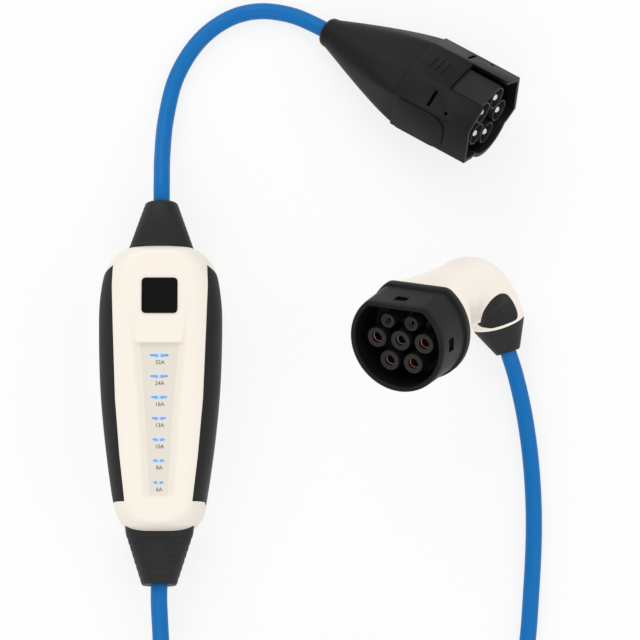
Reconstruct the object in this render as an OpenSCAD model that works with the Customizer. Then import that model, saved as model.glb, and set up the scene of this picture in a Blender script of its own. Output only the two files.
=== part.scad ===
// Portable EV charger: control box on its back, five-pin plug and vehicle connector lying beside it.
// Units are millimetres. X runs across the box, Y along its cables, Z up from the surface.

/* [Control box] */
// Length of the moulded case along the cables
case_len = 196; // [150:1:260]
// Widest width of the case
case_w = 83; // [70:1:110]
// Depth of the case from its flat back to the crown of its front
case_d = 56; // [44:1:70]
// Wall thickness of both shells
case_wall = 2.6; // [2:0.1:4]
// Height of the parting line above the back
part_z = 16; // [10:0.5:24]
// Thickness of the soft side grips
grip_t = 2; // [1:0.1:2.4]
// Side of the square badge plate
badge_side = 24.5; // [16:0.5:30]
// Depth of the light channel below the front, at its deep end
channel_depth = 2.4; // [1:0.1:3]
// Number of light bars in the channel
light_count = 7; // [3:1:7]
// Height of one light bar along the channel
light_h = 2.7; // [1.5:0.1:4]
// Shank radius of the case screws
screw_r = 1.5; // [1:0.1:2]

/* [Cables] */
// Outer diameter of both cables
cable_d = 11.3; // [9:0.1:16]
// Radius of the middle of the coiled turns
coil_r = 75; // [60:1:110]
// Width of the coiled bundle
coil_w = 57; // [24:1:70]
// Height of the coiled bundle
coil_h = 22.8; // [20:0.2:60]

/* [Boots] */
// Length of each boot outside the case
boot_len = 33; // [24:1:50]
// Radius of a boot where it leaves the case
boot_r = 22; // [16:0.5:26]
// Radius of a boot at its thin end
boot_tip_r = 10.2; // [8:0.1:14]
// Number of steps on the ribbed boot
rib_count = 7; // [4:1:10]

/* [Plug] */
// Width across the plug housing
plug_w = 66; // [56:1:80]
// Length of the prismatic plug housing
plug_len = 61; // [45:1:75]
// Length of the tapering rear cap
cap_len = 77; // [55:1:95]
// Wall of the plug housing
plug_wall = 3; // [2:0.1:4]
// Radius of the circle of pins
pin_circle = 14.8; // [13:0.1:16]
// Radius of a plug pin
pin_r = 3; // [2:0.05:4]
// Outer radius of a pin shroud
pin_shroud_r = 8.2; // [7:0.1:8.5]
// Wall of a pin shroud
pin_shroud_wall = 1.2; // [0.8:0.1:2]
// How far the shrouds stand behind the mouth
pin_recess = 3; // [1:0.5:10]

/* [Vehicle connector] */
// Diameter of the connector's round nose
nose_d = 70; // [60:0.5:80]
// Height of the nose from its round bottom to its flat top
nose_h = 63; // [54:0.5:74]
// Length of the nose
nose_len = 38; // [28:1:50]
// Wall of the nose
nose_wall = 3.6; // [2.5:0.1:5]
// Pitch of the power contacts
contact_pitch = 17.5; // [16:0.1:19]
// Bore radius of a power sleeve
power_r = 3.05; // [2.5:0.01:3.5]
// Bore radius of a signal sleeve
signal_r = 1.55; // [1.2:0.01:2]
// Wall of a metal sleeve
sleeve_wall = 1.6; // [1:0.1:2]
// Wall of an insulating chamber
chamber_wall = 2.3; // [1.2:0.1:2.4]
// How far the chambers stand behind the mouth
contact_recess = 6; // [3:0.5:10]
// Radius of the handle at the back of the nose
handle_r = 31; // [24:0.5:33]
// Radius of the handle where its bend begins
handle_mid_r = 24; // [20:0.5:25]
// Radius of the handle at its boot
handle_end_r = 18.5; // [15:0.5:22]
// Straight length of the handle behind the nose
handle_neck = 64; // [30:1:80]
// Bend radius of the handle's middle line
handle_bend = 26; // [25:1:60]
// Wall of the handle
handle_wall = 2.8; // [2:0.1:4]
// Length of the connector's boot
tail_len = 22; // [16:1:40]
// Angle that the handle bends through
handle_sweep = 100; // [80:1:110]
// Turn of the handle around the nose, from straight below the flat
handle_turn = 23.5; // [0:0.5:60]

/* [Hidden] */
$fn = 48;
axis_z = case_d / 2;
half_len = case_len / 2;
kx = case_w / 83;
ky = case_len / 196;
cable_r = cable_d / 2;
joint_eps = 0.01;

// right edge of the case outline from its top end to its bottom end
edge_points = [[0, 98], [12, 97.7], [22.5, 96.2], [31, 90.8], [36.8, 82], [40, 69], [41.5, 48],
    [40.4, 4], [36.8, -36], [31, -77], [28, -88], [22.5, -94.4], [12, -97.4], [0, -98]];
function spline(p, i, t) =
    let (a = p[max(i - 1, 0)], b = p[i], c = p[i + 1], d = p[min(i + 2, len(p) - 1)])
    0.5 * (2 * b + (c - a) * t + (2 * a - 5 * b + 4 * c - d) * t * t + (3 * b - a - 3 * c + d) * t * t * t);
right_edge = [for (i = [0 : len(edge_points) - 2], k = [0 : 1]) spline(edge_points, i, k / 2)];
right_side = [for (p = right_edge) [p[0] * kx, p[1] * ky]];
left_side = [for (i = [len(right_side) - 1 : -1 : 1]) [-right_side[i][0], right_side[i][1]]];
outline = concat(right_side, [[0, -half_len]], left_side);

// depth of the case at each level and how far its outline draws in there
levels = [[0, 7], [2, 3.4], [6, 1], [14, 0], [case_d - 20, 0], [case_d - 11, 2.4],
    [case_d - 5, 7], [case_d - 1.6, 12.5], [case_d, 19]];
end_share = 0.2;

badge_y = 61 * ky;
lens_y = [for (y = [20.2, 5.9, -8.4, -22.8, -37.3, -51.6, -66.4]) y * ky];
lens_w = [13, 12.2, 10.9, 9.9, 8.7, 8, 7.2];
floor_z = case_d - channel_depth;
board_z = axis_z - 8;
led_z = case_d - 10;
screw_at = [[29 * kx, 55 * ky], [-29 * kx, 55 * ky], [21 * kx, -71 * ky], [-21 * kx, -71 * ky]];

pin_at = [for (a = [54 : 72 : 342]) [pin_circle * cos(a), pin_circle * sin(a)]];
plug_total = plug_len + cap_len;
plug_half = plug_w / 2;
bulge_r = 25;
bulge_y = -5;
cap_end_r = 10.5;
cap_step = 0.8;

power_at = [[-contact_pitch, 0], [0, 0], [contact_pitch, 0],
    [-contact_pitch / 2, -0.866 * contact_pitch], [contact_pitch / 2, -0.866 * contact_pitch]];
signal_at = [[-contact_pitch / 2, 0.74 * contact_pitch], [contact_pitch / 2, 0.74 * contact_pitch]];
nose_r = nose_d / 2;
flat_y = nose_h - nose_r;
plate_t = 7;
power_out = power_r + sleeve_wall;
signal_out = signal_r + sleeve_wall;

// resting poses: [x, y, z] of the mouth, direction of the mouth, tilt from upright, roll
plug_pos = [226.2, 185.3, 43.62];
plug_dir = -32;
plug_tilt = 76;
plug_roll = 62;
nose_pos = [158.6, 16.3, 122.9];
nose_dir = 225;
nose_tilt = 41.5;
nose_roll = 130;

// cable routes by hand: points on each middle line
plug_rear = [112.65, 256.25, 10.25];
boot_end = [237.3, 28.95, 14.75];
coil_pos = [124, -298, 1.6];
tie_t = 1.6;
supply_route = [[0, half_len + boot_len, axis_z], [0, 145, 28], [0, 166, 20], [2, 194, 9.5], [9, 224, 5.8],
    [24, 249, 5.7], [44, 265, 5.7], [66, 271, 5.7], [90, 267.5, 6.5], plug_rear];
route_a = [[0, -half_len - boot_len, axis_z], [0, -145, 28], [1, -168, 19], [2, -194, 9], [4, -222, 5.8],
    [8, -250, 5.7], [12, -275, 5.7], [14, -298, 5.7]];
route_b = [[234, -298, 5.7], [235, -270, 5.7], [239, -236, 5.7], [244, -202, 5.7], [249, -170, 5.7],
    [252, -135, 5.7], [254, -100, 5.7], [254, -70, 5.7], [252, -40, 6], [248, -12, 8.5], [242.6, 12, 11.9],
    boot_end];

function unit(v) = v / norm(v);
function heading(p, i) = unit(p[min(i + 1, len(p) - 1)] - p[max(i - 1, 0)]);
function fine(p) = concat([for (i = [0 : len(p) - 2], k = [0 : 1]) spline(p, i, k / 2)], [p[len(p) - 1]]);
function ring(c, t, r, n, up) =
    let (s = unit(cross(t, up)), v = cross(s, t))
    [for (k = [0 : n - 1]) c + r * (cos(360 * k / n) * s + sin(360 * k / n) * v)];
function skin(m, n) = concat(
    [[for (k = [n - 1 : -1 : 0]) k]],
    [for (i = [0 : m - 2], k = [0 : n - 1]) [i * n + k, i * n + (k + 1) % n, (i + 1) * n + k]],
    [for (i = [0 : m - 2], k = [0 : n - 1])
        [i * n + (k + 1) % n, (i + 1) * n + (k + 1) % n, (i + 1) * n + k]],
    [[for (k = [0 : n - 1]) (m - 1) * n + k]]);

module swept(points, radii, n, up, dirs = []) {
    rings = [for (i = [0 : len(points) - 1])
        ring(points[i], len(dirs) > 0 ? dirs[i] : heading(points, i), radii[i], n, up)];
    polyhedron([for (r = rings, q = r) q], skin(len(points), n), convexity = 6);
}

module lead(route) {
    p = fine(route);
    swept(p, [for (q = p) cable_r], 10, [0, 0, 1]);
}

module at_plug() {
    translate(plug_pos) rotate([0, 0, plug_dir]) rotate([0, plug_tilt, 0]) rotate([0, 0, plug_roll])
        children();
}

module at_nose() {
    translate(nose_pos) rotate([0, 0, nose_dir]) rotate([0, nose_tilt, 0]) rotate([0, 0, nose_roll])
        children();
}

// the whole case, drawn in on all sides by a wall; its ends draw in less than its sides
module case_form(wall) {
    hull() {
        for (l = levels) {
            z = min(max(l[0], wall), case_d - wall);
            translate([0, 0, z < case_d / 2 ? z : z - joint_eps]) linear_extrude(joint_eps)
                scale([1 - 2 * (l[1] + wall) / case_w, 1 - (end_share * l[1] + wall) / half_len])
                polygon(outline);
        }
    }
}

// the rear half, drawn in evenly all round its lower edge
module tray_form(wall) {
    hull() {
        for (l = levels) {
            z = min(max(l[0], wall), case_d - wall);
            translate([0, 0, z < case_d / 2 ? z : z - joint_eps]) linear_extrude(joint_eps)
                offset(delta = -l[1] - wall) polygon(outline);
        }
    }
}

// side is 1 for the case's top end and -1 for its bottom end; local Z runs outward along the cable
module outward(side) {
    translate([0, 0, axis_z]) rotate([side > 0 ? -90 : 90, 0, 0]) children();
}

// the cone that a boot fills in the end of the case
module boot_cone() {
    rotate_extrude() polygon([[0, half_len - 10], [boot_r + 1.5, half_len - 10], [boot_r, half_len],
        [boot_r - 0.6, half_len + 2], [0, half_len + 2]]);
}

// side band that the grips fill, on the right
module grip_zone() {
    translate([0, 0, part_z + 2]) linear_extrude(case_d) polygon([[31.6 * kx, 84 * ky], [32.2 * kx, 69 * ky],
        [31.2 * kx, 40 * ky], [29.3 * kx, -9 * ky], [26 * kx, -48 * ky], [22.4 * kx, -79.5 * ky],
        [60, -79.5 * ky + 6], [60, 62 * ky]]);
}

module grip() {
    color([0.2, 0.2, 0.2]) intersection() {
        difference() {
            case_form(0);
            case_form(grip_t);
        }
        grip_zone();
    }
}

module right_grip() {
    grip();
}

module left_grip() {
    mirror([1, 0, 0]) grip();
}

module lens(i, deep) {
    w = lens_w[i];
    r = (w * w / 4 + light_h * light_h) / (2 * light_h);
    translate([0, lens_y[i], floor_z - deep]) linear_extrude(deep) intersection() {
        translate([0, r - light_h / 2]) circle(r, $fn = 96);
        translate([-w, -light_h / 2]) square([2 * w, light_h]);
    }
}

module light_lenses() {
    color([0.35, 0.6, 0.95]) for (i = [0 : light_count - 1]) lens(i, 5);
}

module badge_plate() {
    color([0.06, 0.06, 0.06]) translate([0, badge_y, case_d - 0.6])
        linear_extrude(1.2) square(badge_side, center = true);
}

// outline of the light channel, by its half widths at the ledge, middle and foot
module channel(wide, mid, narrow, foot) {
    polygon([[-wide * kx, 28.5 * ky], [wide * kx, 28.5 * ky], [mid * kx, -9 * ky], [narrow * kx, foot * ky],
        [-narrow * kx, foot * ky], [-mid * kx, -9 * ky]]);
}

module front_shell() {
    color([0.97, 0.94, 0.89]) difference() {
        union() {
            difference() {
                case_form(0);
                case_form(case_wall + 0.6);
            }
            intersection() {
                case_form(0);
                translate([-15 * kx, -80 * ky, floor_z - 2.4]) cube([30 * kx, 160 * ky, 3]);
            }
            // screw bosses
            intersection() {
                case_form(1);
                for (p = screw_at) translate([p[0], p[1], part_z]) cylinder(r = 3, h = case_d - part_z);
            }
            // posts for the light board
            for (y = [34 * ky, -74 * ky]) translate([0, y, led_z + 1.2])
                cylinder(r = 2, h = floor_z - led_z - 3);
        }
        translate([-80, -140, -1]) cube([160, 280, part_z + 1]);
        // light channel with sloping sides below the tongue
        hull() {
            translate([0, 0, floor_z]) linear_extrude(joint_eps) channel(13, 9.8, 5.9, -74);
            translate([0, 0, case_d + 2]) linear_extrude(joint_eps) channel(25.8, 22.1, 18, -83);
        }
        // soft edges of the tongue, running out beside the badge
        for (s = [-1, 1]) hull() {
            translate([s * 16.6 * kx, 28.5 * ky, case_d - 1.4]) cube([joint_eps, joint_eps, 4]);
            translate([s * 20.6 * kx, 28.5 * ky, case_d]) cube([joint_eps, joint_eps, 2]);
            translate([s * 21 * kx, 73 * ky, case_d + joint_eps]) cube([joint_eps, joint_eps, 2]);
        }
        light_slots();
        translate([0, badge_y, case_d - 0.6]) linear_extrude(3) square(badge_side, center = true);
        for (s = [1, -1]) mirror([s < 0 ? 1 : 0, 0, 0]) intersection() {
            difference() {
                case_form(-1);
                case_form(grip_t);
            }
            grip_zone();
        }
        for (s = [1, -1]) outward(s) boot_cone();
        for (p = screw_at) translate([p[0], p[1], part_z - 1]) cylinder(r = screw_r, h = 17, $fn = 24);
    }
}

module light_slots() {
    for (i = [0 : light_count - 1]) lens(i, 5);
}

module rear_shell() {
    color([0.95, 0.92, 0.87]) difference() {
        union() {
            difference() {
                tray_form(0);
                tray_form(case_wall);
                translate([-80, -140, part_z]) cube([160, 280, case_d]);
            }
            for (p = screw_at) translate([p[0], p[1], 1]) cylinder(r = 4, h = part_z - 1);
            // posts for the main board
            for (x = [-20, 20], y = [-54, 46]) translate([x * kx, y * ky, 1])
                cylinder(r = 3, h = board_z - 1);
        }
        gasket_groove();
        for (s = [1, -1]) outward(s) boot_cone();
        for (p = screw_at) translate([p[0], p[1], -1]) {
            cylinder(r = screw_r, h = part_z + 2, $fn = 24);
            cylinder(r = 3, h = 5, $fn = 24);
        }
    }
}

// one strip along each side, ending beside the boots
module gasket_groove() {
    translate([0, 0, part_z - 1.2]) linear_extrude(1.2) intersection() {
        difference() {
            offset(delta = -0.8) polygon(outline);
            offset(delta = -1.8) polygon(outline);
        }
        square([200, 2 * half_len - 18], center = true);
    }
}

module shell_gasket() {
    color([0.12, 0.12, 0.12]) gasket_groove();
}

module case_screws() {
    color([0.7, 0.7, 0.72]) for (p = screw_at) translate([p[0], p[1], 0]) {
        translate([0, 0, 4]) cylinder(r = screw_r, h = part_z + 8, $fn = 24);
        translate([0, 0, 1.6]) difference() {
            cylinder(r = 3, h = 2.4, $fn = 24);
            translate([0, 0, -1]) cylinder(r = 1.4, h = 2.2, $fn = 6);
        }
    }
}

module main_board() {
    color([0.1, 0.35, 0.2]) translate([-24 * kx, -63 * ky, board_z]) cube([48 * kx, 122 * ky, 1.6]);
}

module led_board() {
    color([0.1, 0.35, 0.2]) {
        translate([-7 * kx, -78 * ky, led_z]) cube([14 * kx, 118 * ky, 1.2]);
        for (i = [0 : light_count - 1]) translate([-1.6, lens_y[i] - 1.2, led_z + 1.2])
            cube([3.2, 2.4, floor_z - 5 - led_z - 1.2]);
    }
}

module relays() {
    color([0.15, 0.15, 0.16]) for (i = [0 : 3]) translate([(-22 + 11.4 * i) * kx, 4 * ky, board_z + 1.6])
        cube([10 * kx, 29 * ky, 14]);
}

module power_module() {
    color([0.2, 0.2, 0.22]) translate([-24 * kx, -30 * ky, board_z + 1.6]) cube([22 * kx, 28 * ky, 15]);
}

module fault_sensor() {
    color([0.1, 0.1, 0.12]) translate([12 * kx, -17 * ky, board_z + 1.6]) difference() {
        cylinder(r = 11, h = 12);
        translate([0, 0, -1]) cylinder(r = 5.5, h = 14);
    }
}

module terminal_block() {
    translate([-18 * kx, 0, board_z + 1.6]) cube([36 * kx, 14 * ky, 13]);
}

module supply_terminals() {
    color([0.2, 0.4, 0.25]) translate([0, 40 * ky, 0]) terminal_block();
}

module vehicle_terminals() {
    color([0.2, 0.4, 0.25]) translate([0, -58 * ky, 0]) terminal_block();
}

// five bared conductors from a cable's cut end straight to its terminal block
module cores(side, reach) {
    color([0.45, 0.3, 0.15]) outward(side) for (p = [[0, 3], [-3, 0.6], [3, 0.6], [-1.9, -2.8], [1.9, -2.8]])
        translate([p[0], p[1], reach]) cylinder(r = 1.3, h = half_len - 12 - reach, $fn = 16);
}

module supply_cores() {
    cores(1, 54 * ky);
}

module vehicle_cores() {
    cores(-1, 58 * ky);
}

module supply_end() {
    color([0.11, 0.45, 0.73]) outward(1) translate([0, 0, half_len - 12])
        cylinder(r = cable_r, h = boot_len + 12);
}

module vehicle_end() {
    color([0.11, 0.45, 0.73]) outward(-1) translate([0, 0, half_len - 12])
        cylinder(r = cable_r, h = boot_len + 12);
}

module top_boot() {
    color([0.22, 0.22, 0.23]) outward(1) rotate_extrude() polygon([[cable_r, half_len - 10],
        [boot_r + 1.5, half_len - 10], [boot_r, half_len], [boot_tip_r + 0.6, half_len + boot_len - 2.4],
        [boot_tip_r - 0.4, half_len + boot_len - 0.6],
        [boot_tip_r - 1.6, half_len + boot_len], [cable_r, half_len + boot_len]]);
}

// the ribbed boot steps in at each rib
module bottom_boot() {
    pitch = (boot_len - 1) / rib_count;
    fall = (boot_r - boot_tip_r - 1) / rib_count;
    ribs = [for (i = [0 : rib_count - 1], q = [[0, 0], [0, 0.78 * pitch], [-1.5, 0.8 * pitch], [-1.5, pitch]])
        [boot_r - fall * i + q[0] - fall * q[1] / pitch, half_len + pitch * i + q[1]]];
    color([0.22, 0.22, 0.23]) outward(-1) rotate_extrude() polygon(concat([[cable_r, half_len - 10],
        [boot_r + 1.5, half_len - 10]], ribs, [[boot_tip_r - 0.6, half_len + boot_len],
        [cable_r, half_len + boot_len]]));
}

module supply_lead() {
    color([0.11, 0.45, 0.73]) lead(supply_route);
}

module vehicle_lead_a() {
    color([0.11, 0.45, 0.73]) lead(route_a);
}

module vehicle_lead_b() {
    color([0.11, 0.45, 0.73]) lead(route_b);
}

module bundle(grow) {
    translate([coil_r - coil_w / 2 - grow, -grow]) square([coil_w + 2 * grow, coil_h + 2 * grow]);
}

module cable_coil() {
    color([0.11, 0.45, 0.73]) translate(coil_pos) rotate_extrude($fn = 96) bundle(0);
}

module coil_tie() {
    color([0.1, 0.1, 0.1]) translate(coil_pos) rotate([0, 0, -97])
        rotate_extrude(angle = 14, $fn = 96) difference() {
        bundle(tie_t);
        bundle(0);
    }
}

// outline of the plug, drawn in by a wall
module plug_section(wall) {
    offset(delta = -wall) union() {
        polygon([[plug_half, 14.5], [15, 25], [-15, 25], [-plug_half, 14.5], [-plug_half, -16], [-22.5, -20],
            [22.5, -20], [plug_half, -16]]);
        translate([0, bulge_y]) circle(bulge_r, $fn = 64);
    }
}

module plug_housing() {
    color([0.17, 0.17, 0.18]) at_plug() difference() {
        union() {
            translate([0, 0, -plug_len]) linear_extrude(plug_len) plug_section(0);
            // raised side panels
            for (s = [-1, 1]) translate([s * (plug_half - 1) - (s > 0 ? 0 : 2.2), -13, -56])
                cube([2.2, 24, 34]);
            // grip ridges on top
            for (z = [-52, -47, -42]) translate([-6, 24, z]) cube([12, 1.8, 2]);
        }
        translate([0, 0, -plug_len - 1]) linear_extrude(plug_len + 2) plug_section(plug_wall);
        // the middle of the top wall is cut back
        translate([-15, 12, -28]) cube([30, 20, 30]);
        // slit and latch window in each upper slope
        for (s = [-1, 1]) translate([s * 25, 19.5, -36]) rotate([0, 0, -s * 30]) {
            translate([-6, -5, 0]) cube([12, 10, 2.4]);
            translate([s * 5 - 1.2, -5, 14]) cube([2.4, 10, 2.4]);
        }
    }
}

// rear cap tapering to the cable
module cap_form(wall) {
    hull() {
        translate([0, 0, -plug_len - joint_eps]) linear_extrude(joint_eps) plug_section(wall + cap_step);
        translate([0, 0, -plug_total + wall]) cylinder(r = cap_end_r - wall, h = 6);
    }
}

module plug_cap() {
    color([0.16, 0.16, 0.17]) at_plug() difference() {
        cap_form(0);
        cap_form(plug_wall);
    }
}

module plug_plate() {
    color([0.12, 0.12, 0.13]) at_plug() difference() {
        union() {
            translate([0, 0, -44]) linear_extrude(6) plug_section(plug_wall);
            translate([-12, 20.3, -40]) cube([24, 1.6, 40 - pin_recess]);
        }
        for (p = pin_at) translate([p[0], p[1], -50]) cylinder(r = pin_r + 0.5, h = 20);
    }
}

module pin_shrouds() {
    color([0.12, 0.12, 0.13]) at_plug() for (p = pin_at) translate([p[0], p[1], -38]) difference() {
        cylinder(r = pin_shroud_r, h = 38 - pin_recess);
        translate([0, 0, -1]) cylinder(r = pin_shroud_r - pin_shroud_wall, h = 40);
    }
}

module plug_pins() {
    color([0.8, 0.8, 0.8]) at_plug() for (p = pin_at) translate([p[0], p[1], -52]) rotate_extrude()
        polygon([[0, 0], [pin_r + 0.5, 0], [pin_r + 0.5, 14], [pin_r, 14], [pin_r, 44], [pin_r - 0.8, 45.6],
            [pin_r - 2, 46.4], [0, 46.6]]);
}

// round nose with a flat top
module nose_section(wall) {
    intersection() {
        circle(nose_r - wall, $fn = 96);
        translate([-nose_r - 5, -nose_r - 5]) square([nose_d + 10, nose_r + 5 + flat_y - wall]);
    }
}

module connector_shroud() {
    color([0.15, 0.15, 0.16]) at_nose() difference() {
        union() {
            translate([0, 0, -nose_len]) linear_extrude(nose_len) nose_section(0);
            translate([0, 0, -nose_len]) linear_extrude(6) nose_section(-1.6);
        }
        translate([0, 0, -nose_len - 1]) linear_extrude(nose_len + 2) nose_section(nose_wall);
        // lock recesses in the flat top and the right side
        translate([-5, flat_y - 2, -15]) cube([9, 4, 7]);
        translate([nose_r - 2.4, -5, -16]) cube([5, 9, 7]);
    }
}

module contact_carrier() {
    color([0.13, 0.13, 0.14]) at_nose() translate([0, 0, -nose_len])
        linear_extrude(plate_t) nose_section(nose_wall);
}

module tube(outer, inner, low, high) {
    translate([0, 0, low]) difference() {
        cylinder(r = outer, h = high - low);
        translate([0, 0, -1]) cylinder(r = inner, h = high - low + 2);
    }
}

module contact_chambers() {
    color([0.13, 0.13, 0.14]) at_nose() {
        for (p = power_at) translate([p[0], p[1], 0])
            tube(power_out + chamber_wall, power_out, plate_t - nose_len, -contact_recess);
        for (p = signal_at) translate([p[0], p[1], 0])
            tube(signal_out + chamber_wall, signal_out, plate_t - nose_len, -contact_recess);
    }
}

module sleeve(outer, inner) {
    translate([0, 0, plate_t - nose_len]) difference() {
        cylinder(r = outer, h = nose_len - plate_t - contact_recess - 1.6);
        translate([0, 0, 3]) cylinder(r = inner, h = 40);
    }
}

module power_sleeves() {
    color([0.72, 0.45, 0.3]) at_nose() for (p = power_at) translate([p[0], p[1], 0])
        sleeve(power_out, power_r);
}

module signal_sleeves() {
    color([0.72, 0.45, 0.3]) at_nose() for (p = signal_at) translate([p[0], p[1], 0])
        sleeve(signal_out, signal_r);
}

// the handle's middle line leaves the nose straight back and bends round to its boot
handle_way = [sin(handle_turn), -cos(handle_turn), 0];
handle_flat = [cos(handle_turn), sin(handle_turn), 0];
bend_z = -nose_len - handle_neck;
bend_at = [for (i = [0 : 10]) handle_sweep * i / 10];
function on_bend(a) = handle_bend * (1 - cos(a)) * handle_way + [0, 0, bend_z - handle_bend * sin(a)];
function along_bend(a) = sin(a) * handle_way - [0, 0, cos(a)];
handle_stop = along_bend(handle_sweep);
function handle_line(over) = concat([[0, 0, -nose_len + over]], [for (a = bend_at) on_bend(a)],
    over > 0 ? [on_bend(handle_sweep) + over * handle_stop] : []);
function handle_dirs(over) = concat([[0, 0, -1]], [for (a = bend_at) along_bend(a)],
    over > 0 ? [handle_stop] : []);
function eased(t) = t * t * (3 - 2 * t);
function handle_size(i) = i == 0 ? handle_r
    : handle_mid_r + (handle_end_r - handle_mid_r) * eased((i - 1) / 10);

module handle_form(wall, over) {
    p = handle_line(over);
    swept(p, [for (i = [0 : len(p) - 1]) handle_size(min(i, 11)) - wall], 28, handle_flat,
        handle_dirs(over));
}

module connector_handle() {
    color([0.96, 0.93, 0.88]) at_nose() difference() {
        handle_form(0, 0);
        handle_form(handle_wall, 3);
    }
}

module on_handle_end() {
    translate(on_bend(handle_sweep)) rotate([0, 0, handle_turn - 90]) rotate([0, 180 - handle_sweep, 0])
        children();
}

module handle_pad() {
    color([0.12, 0.12, 0.12]) at_nose() intersection() {
        difference() {
            handle_form(-0.8, 0);
            handle_form(0, 3);
        }
        // teardrop beside the boot
        on_handle_end() rotate([0, 0, 145]) rotate([90, 0, 90]) linear_extrude(40) hull() {
            translate([14, -3.4]) circle(1.6);
            translate([-8, -9.4]) circle(7);
        }
    }
}

module connector_boot() {
    color([0.16, 0.16, 0.17]) at_nose() on_handle_end() rotate_extrude() polygon([[0, -4],
        [handle_end_r - handle_wall - 1, -4], [handle_end_r - handle_wall - 1, 0], [handle_end_r - 0.5, 0],
        [handle_end_r - 1, 3], [cable_r + 3.6, tail_len - 2], [cable_r + 2.6, tail_len], [0, tail_len]]);
}

front_shell();
rear_shell();
shell_gasket();
left_grip();
right_grip();
badge_plate();
light_lenses();
led_board();
main_board();
relays();
power_module();
fault_sensor();
supply_terminals();
vehicle_terminals();
supply_cores();
vehicle_cores();
case_screws();
top_boot();
bottom_boot();
plug_housing();
plug_cap();
plug_plate();
pin_shrouds();
plug_pins();
connector_shroud();
contact_carrier();
contact_chambers();
power_sleeves();
signal_sleeves();
connector_handle();
handle_pad();
connector_boot();
supply_end();
vehicle_end();
supply_lead();
vehicle_lead_a();
vehicle_lead_b();
cable_coil();
coil_tie();
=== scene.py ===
import bpy
import bmesh
import math
import numpy as np
from mathutils import Matrix, Vector


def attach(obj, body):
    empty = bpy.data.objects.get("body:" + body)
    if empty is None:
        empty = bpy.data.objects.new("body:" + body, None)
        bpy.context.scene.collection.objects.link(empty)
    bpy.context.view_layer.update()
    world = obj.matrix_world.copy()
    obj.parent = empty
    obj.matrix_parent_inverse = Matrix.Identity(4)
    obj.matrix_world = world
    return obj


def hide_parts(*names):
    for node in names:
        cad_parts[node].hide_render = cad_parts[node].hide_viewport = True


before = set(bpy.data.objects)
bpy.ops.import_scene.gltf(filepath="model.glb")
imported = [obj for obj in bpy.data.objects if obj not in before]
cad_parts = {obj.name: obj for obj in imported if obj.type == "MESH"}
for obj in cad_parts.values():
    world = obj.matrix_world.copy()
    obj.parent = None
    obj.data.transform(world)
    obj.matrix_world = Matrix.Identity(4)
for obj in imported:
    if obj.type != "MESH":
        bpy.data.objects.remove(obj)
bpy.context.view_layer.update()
scene = bpy.context.scene
scene.view_settings.view_transform = "Standard"

# Camera: a long lens that looks down on the charger where it lies on a table,
# at an angle that shows the front of the box as the photograph does.
aim = Vector((0.1085, 0.0476, 0.036))
look_down = math.radians(80)
look_distance = 3.0
picture_width = 0.4352
camera = bpy.data.objects.new("camera", bpy.data.cameras.new("camera"))
camera.data.sensor_width = 36
camera.data.lens = camera.data.sensor_width * look_distance / picture_width
camera.data.clip_end = 20
camera.location = aim + Vector((0, -math.cos(look_down), math.sin(look_down))) * look_distance
camera.rotation_euler = (math.pi / 2 - look_down, 0, 0)
scene.collection.objects.link(camera)
scene.camera = camera

# Table: a wide pale board under the whole charger. To the camera and in reflections it is mostly
# white, and the rest of its own surface keeps the soft shadows.
white_share = 0.78
table_mat = bpy.data.materials.new("pale table")
table_mat.use_nodes = True
nodes, links = table_mat.node_tree.nodes, table_mat.node_tree.links
board = nodes["Principled BSDF"]
board.inputs["Base Color"].default_value = (0.9, 0.9, 0.9, 1)
board.inputs["Roughness"].default_value = 0.9
path = nodes.new("ShaderNodeLightPath")
seen = nodes.new("ShaderNodeMath")
seen.operation = "MAXIMUM"
links.new(path.outputs["Is Camera Ray"], seen.inputs[0])
links.new(path.outputs["Is Glossy Ray"], seen.inputs[1])
part_white = nodes.new("ShaderNodeMath")
part_white.operation = "MULTIPLY"
part_white.inputs[1].default_value = white_share
links.new(seen.outputs[0], part_white.inputs[0])
white = nodes.new("ShaderNodeEmission")
white.inputs["Color"].default_value = (1, 1, 1, 1)
mix = nodes.new("ShaderNodeMixShader")
links.new(part_white.outputs[0], mix.inputs[0])
links.new(board.outputs[0], mix.inputs[1])
links.new(white.outputs[0], mix.inputs[2])
links.new(mix.outputs[0], nodes["Material Output"].inputs["Surface"])
bpy.ops.mesh.primitive_plane_add(size=8, location=(0.1, -0.05, 0))
table = bpy.context.object
table.name = "table"
table.data.materials.append(table_mat)

# Light: an even white room and three large soft lamps, one behind the box, one at its right
# and one in front, low enough that the cream plastic keeps its colour.
scene.world = bpy.data.worlds.new("room")
scene.world.use_nodes = True
room = scene.world.node_tree.nodes["Background"]
room.inputs["Color"].default_value = (1, 1, 1, 1)
room.inputs["Strength"].default_value = 0.75
for name, place, size, power in (
    ("key", (-0.5, 1.7, 1.5), 1.6, 13),
    ("fill", (1.6, -0.4, 1.6), 1.8, 7),
    ("front", (-0.5, -1.6, 1.6), 1.6, 10),
):
    lamp = bpy.data.objects.new(name, bpy.data.lights.new(name, "AREA"))
    lamp.data.size = size
    lamp.data.energy = power
    lamp.location = place
    lamp.rotation_euler = (aim - Vector(place)).to_track_quat("-Z", "Y").to_euler()
    scene.collection.objects.link(lamp)

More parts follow.
